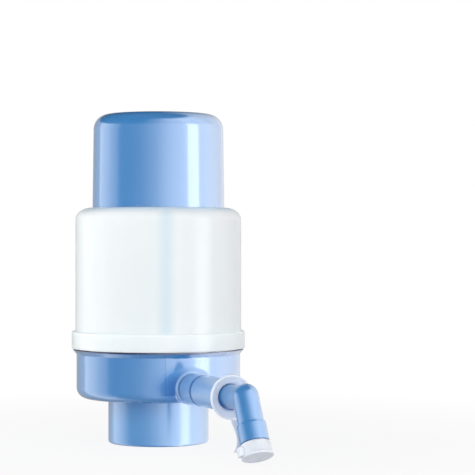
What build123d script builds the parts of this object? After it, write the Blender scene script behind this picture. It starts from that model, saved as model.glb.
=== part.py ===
"""Hand pump for a water jug: press cap, bellows, valves, neck collar and swivelling spout.

The origin is on the pump's upright axis, in the plane of the collar's bottom rim.
+Z is up, the spout points along -Y, and every length is in millimetres.
"""
import math
import os

from build123d import *

# ---------------------------------------------------------------- driving dimensions
# Collar that screws the pump onto the bottle's neck.
COLLAR_R = 31.25
COLLAR_TOP = 27.6
COLLAR_WALL = 1.85
COLLAR_EDGE = 1.7
LIP_BORE_R = 28.2
LIP_HEIGHT = 2.0
NECK_BORE_R = 27.5
SLEEVE_TOP = 17.8
SEAL_FLANGE = 2.4
SEAL_HOLE_R = 19.0
THREAD_PITCH = 4.0
THREAD_DEPTH = 0.8
THREAD_TURNS = 1.25
THREAD_ROOM = 6.2
WASHER_LOW = 2.05
WASHER_TOP = 3.2
WASHER_IN_R = 27.9
SEAL_LOW = 3.25

# Base housing.
BASE_R = 51.0
BASE_BOTTOM = 28.0
BASE_WALL = 2.2
BASE_FLOOR = 2.5
BASE_FILLET = 6.5
CREASE_Z = 55.3
LIP_Z = 58.3
LIP_R = 53.6
SPIGOT_R = 49.4
SPIGOT_TOP = 67.0
LEDGE_WIDTH = 1.8
LEDGE_DROP = 1.6
LEDGE_RUN = 5.2
NECK_HUB_IN_R = 24.0
AIR_HOLES = 6
AIR_HOLE_R = 2.8
AIR_RING_R = 17.5
POST_R = 4.0
PILOT_R = 1.5
PILOT_DEPTH = 14.0
LUGS = 3
LUG_REACH = 1.6
LUG_LOW = 62.4
LUG_TOP = 64.6
LUG_WIDTH = 11.0
HAIRLINE_ANGLE = -107.5
HAIRLINE_WIDTH = 0.35
HAIRLINE_DEPTH = 0.25
DECK_SEAT_Z = 57.0

# Deck that carries the outlet valve and the bellows.
DECK_R = 46.9
DECK_LOW = 58.0
DECK_TOP = 61.0
SCREW_RING_R = 38.0
SCREW_ANGLES = (45, 135, 225, 315)
SCREW_HOLE_R = 1.8
SCREW_SHANK_R = 1.45
SCREW_REACH = 12.0
SCREW_HEAD_R = 3.4
SCREW_HEAD = 2.4
CROSS_LONG = 3.4
CROSS_WIDE = 0.8
CROSS_DEEP = 1.6

# Umbrella valves: one under the deck lets air out, one under the insert lets air in.
VALVE_R = 10.0
VALVE_STEM_R = 2.1
VALVE_STEM_HOLE_R = 2.2
VALVE_BULB_R = 2.9
VALVE_BULB_TOP_R = 1.4
VALVE_BULB = 2.6
VALVE_HOLES = 6
VALVE_HOLE_R = 1.7
VALVE_RING_R = 6.3

# Translucent outer body.
BODY_R = 51.7
BODY_WALL = 1.8
SKIRT_R = 54.0
SKIRT_LOW = 58.8
SKIRT_TOP = 69.5
SHOULDER_Z = 138.8
BODY_TOP = 146.3
BODY_HOLE_R = 41.7
LOCK_GROOVE = 1.9
LOCK_LOW = 61.8
LOCK_TOP = 65.2
LOCK_ENTRY = 13.0

# Press cap.
CAP_R = 41.1
CAP_TOP_R = 40.3
CAP_TOP = 205.0
CAP_DOME_R = 1000.0
CAP_CORNER = 9.5
CAP_WALL = 2.0
CAP_LOW = 141.6
STOP_FLANGE_R = 43.8
FLANGE = 2.0
CAP_RIBS = 8
RIB_DEEP = 3.4
RIB_THICK = 1.4
RIB_HEIGHT = 40.0
INSERT_LOW = 146.0
INSERT_TOP = 148.5
INSERT_SPIGOT_IN_R = 25.0

# Bellows and return spring.
BELLOWS_CREST_R = 33.0
BELLOWS_ROOT_R = 27.0
BELLOWS_WALL = 1.0
BELLOWS_FOLDS = 11
BELLOWS_FLANGE = 1.2
BELLOWS_FLANGE_R = 42.5
CUFF_LOW = 138.0
CUFF_THICK = 1.1
CLAMP_HEIGHT = 2.2
BAND_THICK = 1.0
BAND_LOW = 140.0
BAND_HIGH = 143.6
SPRING_R = 21.3
SPRING_WIRE_R = 1.1
SPRING_TURNS = 9

# Spout: distances along the arm are measured from the pump's axis.
ARM_Z = 37.1
ARM_BORE_R = 5.0
CROSS_R = 5.2
CROSS_BORE_R = 3.6
CROSS_START = 9.3
CROSS_HOLE_R = 5.5
SNOUT_R = 7.9
SNOUT_END = 61.5
CROSS_FLANGE_R = 7.6
CROSS_END = 62.7
GASKET_END = 63.5
TAIL_FLANGE_R = 7.7
TAIL_FLANGE_END = 65.5
TAIL_R = 6.4
BOSS_R = 9.7
BOSS_IN = 46.6
BOSS_OUT = 53.4
FLARE_GROWTH = 11.3
FLARE_ARC = 110.0
FLARE_ROOT = 45.0
FLARE_FOOT = 46.2
FLARE_END = 52.9
FLARE_LOW = 32.0
FLARE_OUT = 56.0
NUT_IN = 54.5
NUT_OUT = 72.0
NUT_SHOULDER = 65.6
SLEEVE_R = 9.45
SLEEVE_EDGE = 0.4
ARM_IN = 72.9
ARM_OUT = 107.9
STUB_R = 6.9
STUB_BORE_R = 4.6
SOCKET_END = 91.2
SNAP_END = 94.8
BEAD_START = 92.0
BEAD_END = 94.2
ORING_START = 99.0
ORING_END = 101.2
ORING_ROOT_R = 5.9
CORNER = 130.9
DROP_ANGLE = 63.6
DROP_R = 7.45
DOME_RISE = 1.4
NOZZLE_START = 14.9
NOZZLE_END = 26.1
NOZZLE_R = 8.4
NOZZLE_SEAT_R = 6.0
NOZZLE_SEAT = 9.0
NOZZLE_SPIGOT_R = 7.3
NOZZLE_SPIGOT_END = 32.2
RING_R = 12.95
RING_BACK = 108.4
RING_FRONT = 111.4
RING_HOLE_R = 7.45
RING_HANG = 0.5
SPOUT_CAP_END = 34.8
SPOUT_CAP_IN_R = 7.45
SPOUT_CAP_ROOF = 32.5
SKIRT_TOP_R = 8.5
SKIRT_END_R = 8.9
DISC_R = 9.3
DISC_START = 33.3
LUG_CENTRE = (-9.6, 0, 31.2)
LUG_SIZE = (3.0, 4.6, 5.4)
STRAP_WIDE = 3.4
STRAP_THICK = 1.1
STRAP_ROUTE = [
    (1.8, -110.2, 22.9),
    (1.2, -116.2, 18.2),
    (-1.5, -126.0, 13.6),
    (-6.3, -134.6, 9.6),
    (-10.2, -139.6, 8.6),
]
STRAP_BENDS = [8.0, 18.0, 6.0]

# Riser that takes the dip tube and turns the water towards the spout.
TUBE_SOCKET_R = 6.05
RISER_R = 8.2
RISER_LOW = 18.3
RISER_TOP = 44.2
SOCKET_DEPTH = 12.7
RISER_ROOF = 2.2
RISER_FOOT_R = 12.0
RISER_FOOT = 1.5
SIDE_SOCKET_R = 6.5
SIDE_SOCKET_END = 16.0
SIDE_SOCKET_START = 9.0
SIDE_BORE_R = 5.3
GLAND_START = 11.4
GLAND_END = 13.0
GLAND_R = 4.4

# Clearances.
SLIP = 0.1
LOOSE = 0.3

# Frames: local Z runs outwards along the arm, and down along the drop tube.
ARM = Plane(origin=(0, 0, ARM_Z), x_dir=(1, 0, 0), z_dir=(0, -1, 0))
DROP_COS = math.cos(math.radians(DROP_ANGLE))
DROP_SIN = math.sin(math.radians(DROP_ANGLE))
DROP = Plane(origin=(0, -CORNER, ARM_Z), x_dir=(1, 0, 0), z_dir=(0, -DROP_COS, -DROP_SIN))


# ---------------------------------------------------------------- helpers
def turned(points, radii=0.0):
    """Revolve a closed outline of (radius, height) points about Z; radii round its corners."""
    outline = FilletPolyline(*[(r, 0, z) for r, z in points], radius=radii, close=True)
    return revolve(make_face(outline), Axis.Z)


def ring(inner, outer, low, high, edge=0.0):
    """Plain ring about Z, with its outer corners rounded by edge."""
    corners = [(inner, low), (outer, low), (outer, high), (inner, high)]
    return turned(corners, [0, edge, edge, 0])


def rod(radius, low, high, x=0.0, y=0.0):
    """Solid cylinder along Z."""
    return Pos(x, y, (low + high) / 2) * Cylinder(radius, high - low)


def on_circle(radius, angle):
    """Point on a circle about the Z axis."""
    turn = math.radians(angle)
    return radius * math.cos(turn), radius * math.sin(turn)


def spread(count, radius):
    """Points evenly spread on a circle about the Z axis."""
    return [on_circle(radius, 360 / count * step) for step in range(count)]


def thread_ridge(root_r, crest_r, low, phase, turns=THREAD_TURNS):
    """Helical ridge with sloped flanks; it stands out of or into the wall at root_r."""
    overlap = 0.3
    bury = overlap if crest_r > root_r else -overlap
    half_root = 0.85
    half_crest = 0.45
    path = Helix(pitch=THREAD_PITCH, height=THREAD_PITCH * turns, radius=root_r)
    profile = Polyline(
        (root_r - bury, 0, -half_root),
        (crest_r, 0, -half_crest),
        (crest_r, 0, half_crest),
        (root_r - bury, 0, half_root),
        close=True,
    )
    ridge = sweep(make_face(profile), path=path, is_frenet=True)
    return Pos(0, 0, low) * Rot(0, 0, phase) * ridge


def umbrella_valve(seat_z, plate_top):
    """Mushroom valve: a thin disc under the plate, a stem through it and a bulb above."""
    rim = 0.6
    crown = 1.6
    dome = 1.9
    dome_r = 3.0
    gap = 0.05
    return turned(
        [
            (0, seat_z - dome),
            (dome_r, seat_z - crown),
            (VALVE_R, seat_z - rim),
            (VALVE_R, seat_z),
            (VALVE_STEM_R, seat_z),
            (VALVE_STEM_R, plate_top + gap),
            (VALVE_BULB_R, plate_top + gap),
            (VALVE_BULB_TOP_R, plate_top + VALVE_BULB),
            (0, plate_top + VALVE_BULB),
        ]
    )


def valve_holes(low, high):
    """Stem hole with a circle of air holes around it, for an umbrella valve."""
    holes = rod(VALVE_STEM_HOLE_R, low, high)
    for x, y in spread(VALVE_HOLES, VALVE_RING_R):
        holes += rod(VALVE_HOLE_R, low, high, x, y)
    return holes


# ---------------------------------------------------------------- collar and seal
def neck_collar():
    """Plain threaded collar with an inward lip that carries the washer and the seal."""
    inner = COLLAR_R - COLLAR_WALL
    wall = turned(
        [
            (LIP_BORE_R, 0),
            (COLLAR_R, 0),
            (COLLAR_R, COLLAR_TOP),
            (inner, COLLAR_TOP),
            (inner, LIP_HEIGHT),
            (LIP_BORE_R, LIP_HEIGHT),
        ],
        [0, COLLAR_EDGE, 0.4, 0.3, 0, 0],
    )
    return wall + thread_ridge(inner, inner - THREAD_DEPTH, COLLAR_TOP - THREAD_ROOM, 0)


def thrust_washer():
    """Split washer between the collar's lip and the seal, so that only the collar turns."""
    outer = COLLAR_R - COLLAR_WALL - 2 * SLIP
    cut = 1.6
    washer = ring(WASHER_IN_R, outer, WASHER_LOW, WASHER_TOP)
    split = Pos(outer, 0, WASHER_LOW) * Box(outer - WASHER_IN_R + 3, cut, 2 * WASHER_TOP)
    return washer - split


def neck_seal():
    """Rubber sleeve that grips the bottle's neck, with a flange over the neck's rim."""
    outer = COLLAR_R - COLLAR_WALL - LOOSE
    flange_top = SLEEVE_TOP + SEAL_FLANGE
    return turned(
        [
            (NECK_BORE_R, SEAL_LOW),
            (outer, SEAL_LOW),
            (outer, flange_top),
            (SEAL_HOLE_R, flange_top),
            (SEAL_HOLE_R, SLEEVE_TOP),
            (NECK_BORE_R, SLEEVE_TOP),
        ],
        [0, 0, 0.6, 0.4, 0.4, 0],
    )


# ---------------------------------------------------------------- base
def base_housing():
    """Bowl with a flared lip, a bayonet spigot, a threaded neck boss and the spout boss."""
    floor_top = BASE_BOTTOM + BASE_FLOOR
    neck_outer = COLLAR_R - COLLAR_WALL - THREAD_DEPTH - 0.25
    shell = base_shell(floor_top, neck_outer)
    shell += thread_ridge(neck_outer, neck_outer + THREAD_DEPTH, BASE_BOTTOM - THREAD_ROOM, 180)
    shell += spout_boss()

    for angle in SCREW_ANGLES:
        x, y = on_circle(SCREW_RING_R, angle)
        shell += rod(POST_R, floor_top - 0.2, DECK_LOW, x, y)
        shell -= rod(PILOT_R, DECK_LOW - PILOT_DEPTH, DECK_LOW + 1, x, y)

    for x, y in spread(AIR_HOLES, AIR_RING_R):
        shell -= rod(AIR_HOLE_R, BASE_BOTTOM - 1, floor_top + 1, x, y)

    for step in range(LUGS):
        shell += Rot(0, 0, 360 / LUGS * step) * bayonet_lug()

    shell -= parting_line()
    shell += boss_flare()
    return shell - ARM * rod(CROSS_HOLE_R, BOSS_IN - 6, SNOUT_END + 5)


def base_shell(floor_top, neck_outer):
    """Turned part of the base: bowl, lip, spigot, ledge for the deck and neck hub."""
    inner = BASE_R - BASE_WALL
    spigot_in = SPIGOT_R - BASE_WALL
    ledge_in = spigot_in - LEDGE_WIDTH
    neck_low = SLEEVE_TOP + SEAL_FLANGE + SLIP
    hub_hole = RISER_R + 2 * SLIP
    return turned(
        [
            (hub_hole, BASE_BOTTOM),
            (NECK_HUB_IN_R, BASE_BOTTOM),
            (NECK_HUB_IN_R, neck_low),
            (neck_outer, neck_low),
            (neck_outer, BASE_BOTTOM),
            (BASE_R, BASE_BOTTOM),
            (BASE_R, CREASE_Z),
            (LIP_R, LIP_Z),
            (SPIGOT_R, LIP_Z),
            (SPIGOT_R, SPIGOT_TOP),
            (spigot_in, SPIGOT_TOP),
            (spigot_in, DECK_SEAT_Z),
            (ledge_in, DECK_SEAT_Z),
            (ledge_in, DECK_SEAT_Z - LEDGE_DROP),
            (inner, DECK_SEAT_Z - LEDGE_RUN),
            (inner, floor_top),
            (hub_hole, floor_top),
        ],
        [0, 0, 0, 0, 0, BASE_FILLET, 0.6, 0.35, 0, 0.4, 0.3, 0, 0, 0, 0, BASE_FILLET - BASE_WALL, 0],
    )


def spout_boss():
    """Round boss on the base's side, with a thinner snout inside the spout nut."""
    return ARM * turned(
        [
            (0, BOSS_IN),
            (BOSS_R, BOSS_IN),
            (BOSS_R, BOSS_OUT),
            (SNOUT_R, BOSS_OUT),
            (SNOUT_R, SNOUT_END),
            (0, SNOUT_END),
        ],
        [0, 0, 0.5, 0, 0.5, 0],
    )


def boss_flare():
    """Wide shallow cone, slightly hollow, that runs the spout boss into the round wall."""
    foot_r = BOSS_R + FLARE_GROWTH
    outline = [
        Line((0, FLARE_ROOT), (foot_r, FLARE_ROOT)),
        Line((foot_r, FLARE_ROOT), (foot_r, FLARE_FOOT)),
        RadiusArc((foot_r, FLARE_FOOT), (BOSS_R, FLARE_END), FLARE_ARC),
        Line((BOSS_R, FLARE_END), (0, FLARE_END)),
        Line((0, FLARE_END), (0, FLARE_ROOT)),
    ]
    flare = ARM * revolve(Plane.XZ * make_face(outline), Axis.Z)
    wall_middle = BASE_R - BASE_WALL / 2
    limits = Polyline(
        (wall_middle, FLARE_LOW),
        (FLARE_OUT, FLARE_LOW + FLARE_OUT - wall_middle),
        (FLARE_OUT, CREASE_Z - BASE_WALL / 2),
        (wall_middle, CREASE_Z - BASE_WALL / 2),
        close=True,
    )
    return flare & revolve(Plane.XZ * make_face(limits), Axis.Z)


def bayonet_lug():
    """Short arc that stands out of the spigot and locks into the outer body's groove."""
    lug = ring(SPIGOT_R - 0.5, SPIGOT_R + LUG_REACH, LUG_LOW, LUG_TOP)
    return lug & Pos(SPIGOT_R, 0, LUG_LOW) * Box(8, LUG_WIDTH, 6)


def parting_line():
    """Hairline that the mould's split leaves down the base, beside the spout."""
    deep = HAIRLINE_DEPTH
    x, y = on_circle(BASE_R, HAIRLINE_ANGLE)
    hair = Pos(x, y, CREASE_Z) * Rot(0, 0, HAIRLINE_ANGLE) * Box(2 * deep, HAIRLINE_WIDTH, 2 * CREASE_Z)
    flare = Polyline(
        (BASE_R - deep, CREASE_Z),
        (LIP_R - deep, LIP_Z),
        (LIP_R + 1, LIP_Z),
        (BASE_R + 1, CREASE_Z),
        close=True,
    )
    slot = extrude(Plane.XZ * make_face(flare), amount=HAIRLINE_WIDTH / 2, both=True)
    keep = ring(BASE_R - deep, BASE_R + 1, BASE_BOTTOM + BASE_FILLET, CREASE_Z)
    return (hair & keep) + Rot(0, 0, HAIRLINE_ANGLE) * slot


def water_riser():
    """Upright socket for the dip tube with a side socket for the cross tube."""
    foot_low = BASE_BOTTOM + BASE_FLOOR
    body = rod(RISER_R, RISER_LOW, RISER_TOP)
    body += rod(RISER_FOOT_R, foot_low, foot_low + RISER_FOOT)
    body += ARM * rod(SIDE_SOCKET_R, 0, SIDE_SOCKET_END)
    body -= rod(TUBE_SOCKET_R, RISER_LOW - 1, RISER_LOW + SOCKET_DEPTH)
    body -= rod(ARM_BORE_R, RISER_LOW, RISER_TOP - RISER_ROOF)
    body -= ARM * rod(SIDE_BORE_R, SIDE_SOCKET_START, SIDE_SOCKET_END + 1)
    body -= ARM * rod(CROSS_BORE_R, 0, SIDE_SOCKET_START + 1)
    return body


def cross_tube():
    """Tube from the riser's side socket out through the spout boss, with an end flange."""
    return ARM * turned(
        [
            (CROSS_BORE_R, CROSS_START),
            (CROSS_R, CROSS_START),
            (CROSS_R, GLAND_START),
            (GLAND_R, GLAND_START),
            (GLAND_R, GLAND_END),
            (CROSS_R, GLAND_END),
            (CROSS_R, SNOUT_END),
            (CROSS_FLANGE_R, SNOUT_END),
            (CROSS_FLANGE_R, CROSS_END),
            (CROSS_BORE_R, CROSS_END),
        ]
    )


def riser_oring():
    """O-ring in the cross tube's groove."""
    cord_r = 0.42
    return ARM * (Pos(0, 0, (GLAND_START + GLAND_END) / 2) * Torus(GLAND_R + cord_r, cord_r))


# ---------------------------------------------------------------- deck and valves
def deck_gasket():
    """Flat gasket between the base's ledge and the deck."""
    return ring(DECK_R - 1.2, DECK_R, DECK_SEAT_Z, DECK_LOW)


def valve_deck():
    """Plate with the outlet valve's holes, the spring's seat and the screw holes."""
    seat_in = SPRING_R + SPRING_WIRE_R + 0.5
    plate = ring(0, DECK_R, DECK_LOW, DECK_TOP, edge=0.3)
    plate += ring(seat_in, seat_in + 1.5, DECK_TOP, DECK_TOP + 1.8)
    plate -= valve_holes(DECK_LOW - 1, DECK_TOP + 1)
    return plate - screw_holes(DECK_LOW, DECK_TOP)


def screw_holes(low, high):
    """Clearance holes for the deck screws, right through a plate."""
    centres = [on_circle(SCREW_RING_R, angle) for angle in SCREW_ANGLES]
    holes = [rod(SCREW_HOLE_R, low - 1, high + 1, *centre) for centre in centres]
    return Compound(children=holes)


def deck_screws():
    """Four pan-head screws that clamp ring, bellows flange and deck to the base."""
    head_low = DECK_TOP + BELLOWS_FLANGE + CLAMP_HEIGHT
    head_top = head_low + SCREW_HEAD
    head_outline = [(0, head_low), (SCREW_HEAD_R, head_low), (SCREW_HEAD_R, head_top), (0, head_top)]
    head = turned(head_outline, [0, 0, 1.2, 0])
    shank = rod(SCREW_SHANK_R, DECK_LOW - SCREW_REACH, head_low)
    cross = Box(CROSS_LONG, CROSS_WIDE, CROSS_DEEP) + Box(CROSS_WIDE, CROSS_LONG, CROSS_DEEP)
    screw = head + shank - Pos(0, 0, head_top - CROSS_DEEP / 4) * cross
    screws = [Pos(*on_circle(SCREW_RING_R, angle), 0) * screw for angle in SCREW_ANGLES]
    return Compound(children=screws)


# ---------------------------------------------------------------- bellows, clamp and spring
def bellows():
    """Folded air bellows between the deck and the press cap's insert."""
    low = DECK_TOP + BELLOWS_FLANGE
    pitch = (CUFF_LOW - low) / BELLOWS_FOLDS
    inner_root = BELLOWS_ROOT_R - BELLOWS_WALL
    cuff_r = BELLOWS_ROOT_R + CUFF_THICK
    cuff_top = INSERT_LOW - LOOSE
    outside = []
    inside = []
    for fold in range(BELLOWS_FOLDS):
        z = low + fold * pitch
        outside += [(BELLOWS_ROOT_R, z), (BELLOWS_CREST_R, z + pitch / 2)]
        inside += [(inner_root, z), (BELLOWS_CREST_R - BELLOWS_WALL, z + pitch / 2)]
    outline = [(BELLOWS_FLANGE_R, DECK_TOP), (BELLOWS_FLANGE_R, low)]
    outline += outside
    outline += [(cuff_r, CUFF_LOW), (cuff_r, cuff_top), (BELLOWS_ROOT_R, cuff_top)]
    outline += [(BELLOWS_ROOT_R, CUFF_LOW), (inner_root, CUFF_LOW - 0.6)]
    outline += inside[::-1]
    outline += [(inner_root, DECK_TOP)]
    return turned(outline) - screw_holes(DECK_TOP, low)


def bellows_clamp_ring():
    """Stiff ring that presses the bellows flange onto the deck."""
    low = DECK_TOP + BELLOWS_FLANGE
    clamp = ring(BELLOWS_CREST_R + 1.2, BELLOWS_FLANGE_R, low, low + CLAMP_HEIGHT, edge=0.5)
    return clamp - screw_holes(low, low + CLAMP_HEIGHT)


def bellows_band():
    """Band that holds the bellows cuff on the insert's spigot."""
    inner = BELLOWS_ROOT_R + CUFF_THICK + LOOSE
    return ring(inner, inner + BAND_THICK, BAND_LOW, BAND_HIGH, edge=0.3)


def return_spring():
    """Coil spring that lifts the press cap."""
    low = DECK_TOP + SPRING_WIRE_R
    height = INSERT_LOW - LOOSE - SPRING_WIRE_R - low
    path = Helix(pitch=height / SPRING_TURNS, height=height, radius=SPRING_R)
    start = Plane(origin=path @ 0, z_dir=path % 0)
    coil = sweep(start * Circle(SPRING_WIRE_R), path=path, is_frenet=True)
    return Pos(0, 0, low) * coil


# ---------------------------------------------------------------- outer body
def outer_body():
    """Milky shell with a thick skirt, a rounded shoulder and the hole for the press cap."""
    inner = BODY_R - BODY_WALL
    hole = BODY_HOLE_R
    reach = BODY_R - hole
    rise = BODY_TOP - SHOULDER_Z
    outer_curve = EllipticalCenterArc((hole, SHOULDER_Z), reach, rise, start_angle=0, arc_size=90)
    inner_curve = EllipticalCenterArc(
        (hole, SHOULDER_Z), reach - BODY_WALL, rise - BODY_WALL, start_angle=0, arc_size=90
    )
    side = FilletPolyline(
        (inner, SKIRT_LOW),
        (SKIRT_R, SKIRT_LOW),
        (SKIRT_R, SKIRT_TOP),
        (BODY_R, SKIRT_TOP),
        (BODY_R, SHOULDER_Z),
        radius=[0.8, 0.8, 0.3],
    )
    edge = Line((hole, BODY_TOP), (hole, BODY_TOP - BODY_WALL))
    inside = Line((inner, SHOULDER_Z), (inner, SKIRT_LOW))
    outline = [*side.edges(), outer_curve, edge, inner_curve, inside]
    shell = revolve(Plane.XZ * make_face(outline), Axis.Z)
    shell -= ring(inner - 1, inner + LOCK_GROOVE, LOCK_LOW, LOCK_TOP)
    inside = 1.1
    low = SKIRT_LOW - 0.8
    height = 6.0
    depth = LOCK_GROOVE + inside
    middle = Pos(inner - inside + depth / 2, 0, low + height / 2)
    entry = middle * Box(depth, LOCK_ENTRY, height)
    for step in range(LUGS):
        shell -= Rot(0, 0, 360 / LUGS * (step + 0.5)) * entry
    return shell


# ---------------------------------------------------------------- press cap
def press_cap():
    """Blue cap that the hand presses, with a stop flange under the body's shoulder."""
    inner = CAP_R - CAP_WALL
    stop_reach = 0.55
    shell = revolve(cap_shell_face(0), Axis.Z) - revolve(cap_shell_face(CAP_WALL), Axis.Z)
    shell += ring(inner, STOP_FLANGE_R, CAP_LOW, CAP_LOW + FLANGE, edge=0.3)
    shell += ring(inner - stop_reach, CAP_R - 1, INSERT_LOW - 1.1, INSERT_LOW - 0.2)
    rib = Pos(inner - 1.2, 0, INSERT_TOP + 0.05 + RIB_HEIGHT / 2) * Box(RIB_DEEP, RIB_THICK, RIB_HEIGHT)
    for step in range(CAP_RIBS):
        shell += Rot(0, 0, 360 / CAP_RIBS * (step + 0.5)) * rib
    return shell


def cap_shell_face(inset):
    """Half section of the cap, moved inwards by inset, with a slightly domed top."""
    low = CAP_LOW - (1 if inset else 0)
    top = CAP_TOP - inset
    corner_r = CAP_TOP_R - inset
    lean = math.asin(corner_r / CAP_DOME_R)
    corner = (corner_r, top - CAP_DOME_R * (1 - math.cos(lean)))
    outline = [
        Line((0, low), (CAP_R - inset, low)),
        Line((CAP_R - inset, low), (CAP_R - inset, BODY_TOP)),
        Line((CAP_R - inset, BODY_TOP), corner),
        CenterArc((0, top - CAP_DOME_R), CAP_DOME_R, 90 - math.degrees(lean), math.degrees(lean)),
        Line((0, top), (0, low)),
    ]
    face = make_face(outline)
    corner_vertex = face.vertices().sort_by_distance(corner)[0]
    return Plane.XZ * fillet(corner_vertex, CAP_CORNER - inset)


def cap_insert():
    """Plate inside the cap with the intake valve's holes and the bellows spigot."""
    plate_r = CAP_R - CAP_WALL - 0.25
    rim_in = plate_r - 7.5
    rim_height = 4.0
    insert = ring(0, plate_r, INSERT_LOW, INSERT_TOP, edge=0.3)
    insert += ring(INSERT_SPIGOT_IN_R, BELLOWS_ROOT_R - LOOSE, CUFF_LOW + LOOSE, INSERT_LOW)
    insert += ring(rim_in, rim_in + 1.5, INSERT_TOP, INSERT_TOP + rim_height)
    return insert - valve_holes(INSERT_LOW - 1, INSERT_TOP + 1)


# ---------------------------------------------------------------- spout
def spout_nut():
    """Union nut that draws the spout arm's flange against the cross tube."""
    bore = SNOUT_R + SLIP
    hole = TAIL_R + 0.15
    return ARM * turned(
        [
            (bore, NUT_IN),
            (SLEEVE_R - 0.25, NUT_IN),
            (SLEEVE_R, NUT_OUT),
            (hole, NUT_OUT),
            (hole, NUT_SHOULDER),
            (bore, NUT_SHOULDER),
        ],
        [0, SLEEVE_EDGE, SLEEVE_EDGE, 0, 0, 0],
    )


def spout_gasket():
    """Flat washer that seals the spout arm to the cross tube."""
    return ARM * ring(ARM_BORE_R - 0.7, CROSS_FLANGE_R, CROSS_END, GASKET_END)


def spout_arm():
    """Outer part of the arm: a flanged tail inside the nut, then the sleeve and socket."""
    bore = STUB_R + SLIP
    snap_r = STUB_R + 0.7
    return ARM * turned(
        [
            (ARM_BORE_R, GASKET_END),
            (TAIL_FLANGE_R, GASKET_END),
            (TAIL_FLANGE_R, TAIL_FLANGE_END),
            (TAIL_R, TAIL_FLANGE_END),
            (TAIL_R, ARM_IN),
            (SLEEVE_R, ARM_IN),
            (SLEEVE_R - 0.3, ARM_OUT),
            (bore, ARM_OUT),
            (bore, SNAP_END),
            (snap_r, SNAP_END),
            (snap_r, SOCKET_END),
            (ARM_BORE_R, SOCKET_END),
        ],
        [0, 0, 0, 0, 0, SLEEVE_EDGE, 0.5, 0, 0, 0, 0, 0],
    )


def spout_elbow():
    """Bent end piece: a stub that snaps and swivels in the arm, and the drop tube."""
    bead_r = STUB_R + 0.4
    stub = ARM * turned(
        [
            (0, BEAD_START),
            (bead_r, BEAD_START),
            (bead_r, BEAD_END),
            (STUB_R, BEAD_END),
            (STUB_R, ORING_START),
            (ORING_ROOT_R, ORING_START),
            (ORING_ROOT_R, ORING_END),
            (STUB_R, ORING_END),
            (STUB_R, CORNER),
            (0, CORNER),
        ],
        [0, 0.6, 0, 0, 0, 0, 0, 0, 0, 0],
    )
    seat_end = NOZZLE_START + NOZZLE_SEAT
    drop = rod(DROP_R, -DOME_RISE, NOZZLE_START)
    drop += Pos(0, 0, -DOME_RISE) * Sphere(DROP_R)
    drop += rod(NOZZLE_SEAT_R, NOZZLE_START - 1, seat_end)
    body = stub + DROP * drop
    body -= ARM * rod(STUB_BORE_R, BEAD_START - 1, CORNER)
    body -= ARM * (Pos(0, 0, CORNER) * Sphere(STUB_BORE_R))
    return body - DROP * rod(STUB_BORE_R, 0, seat_end + 1)


def elbow_oring():
    """O-ring in the stub's groove."""
    cord_r = 0.48
    return ARM * (Pos(0, 0, (ORING_START + ORING_END) / 2) * Torus(ORING_ROOT_R + cord_r + 0.04, cord_r))


def nozzle_tip():
    """Sleeve on the end of the drop tube, with a thinner spigot for the closing cap."""
    start = NOZZLE_START + 0.05
    seat_r = NOZZLE_SEAT_R + 0.03
    seat_end = NOZZLE_START + NOZZLE_SEAT + SLIP
    return DROP * turned(
        [
            (seat_r, start),
            (NOZZLE_R - 0.25, start),
            (NOZZLE_R, start + 1.35),
            (NOZZLE_R, NOZZLE_END),
            (NOZZLE_SPIGOT_R, NOZZLE_END),
            (NOZZLE_SPIGOT_R, NOZZLE_SPIGOT_END),
            (STUB_BORE_R, NOZZLE_SPIGOT_END),
            (STUB_BORE_R, seat_end),
            (seat_r, seat_end),
        ],
        [0, 0.3, 0, 0.3, 0, 0.6, 0, 0, 0],
    )


def spout_cap():
    """Closing cap with a flat end disc, a lug for the strap and a soft inner step."""
    skirt_start = NOZZLE_END + 0.35
    cap = DROP * turned(
        [
            (0, SPOUT_CAP_ROOF),
            (SPOUT_CAP_IN_R, SPOUT_CAP_ROOF),
            (SPOUT_CAP_IN_R, skirt_start),
            (SKIRT_TOP_R, skirt_start),
            (SKIRT_END_R, DISC_START - 0.3),
            (DISC_R, DISC_START),
            (DISC_R, SPOUT_CAP_END),
            (0, SPOUT_CAP_END),
        ],
        [0, 0, 0, 0.4, 0, 0, 0.3, 0],
    )
    lug = DROP * (Pos(*LUG_CENTRE) * Box(*LUG_SIZE))
    lug = fillet(lug.edges(), 0.8)
    return cap + (lug - DROP * rod(SPOUT_CAP_IN_R + 0.55, NOZZLE_END, DISC_START - 0.3))


def tether_ring():
    """Loose ring on the stub with a dished front, part of the cap's moulding."""
    rim = 1.1
    dish = 1.7
    plate = turned(
        [
            (RING_HOLE_R, RING_BACK),
            (RING_R, RING_BACK),
            (RING_R, RING_FRONT),
            (RING_R - rim, RING_FRONT),
            (RING_HOLE_R, RING_FRONT - dish),
        ],
        [0.2, 0.9, 0.4, 0.3, 0.3],
    )
    return Pos(0, 0, -RING_HANG) * (ARM * plate)


def cap_strap():
    """Soft strap from the ring's lower edge to the cap's lug, beside the drop tube."""
    route = FilletPolyline(*STRAP_ROUTE, radius=STRAP_BENDS)
    start = Plane(origin=route @ 0, x_dir=(1, 0, 0), z_dir=route % 0)
    return sweep(start * Rectangle(STRAP_WIDE, STRAP_THICK), path=route, is_frenet=False)


# ---------------------------------------------------------------- write the pieces
PIECES = [
    neck_collar,
    thrust_washer,
    neck_seal,
    base_housing,
    water_riser,
    cross_tube,
    riser_oring,
    deck_gasket,
    valve_deck,
    deck_screws,
    bellows,
    bellows_clamp_ring,
    bellows_band,
    return_spring,
    outer_body,
    press_cap,
    cap_insert,
    spout_nut,
    spout_gasket,
    spout_arm,
    spout_elbow,
    elbow_oring,
    nozzle_tip,
    spout_cap,
    tether_ring,
    cap_strap,
]


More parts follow.
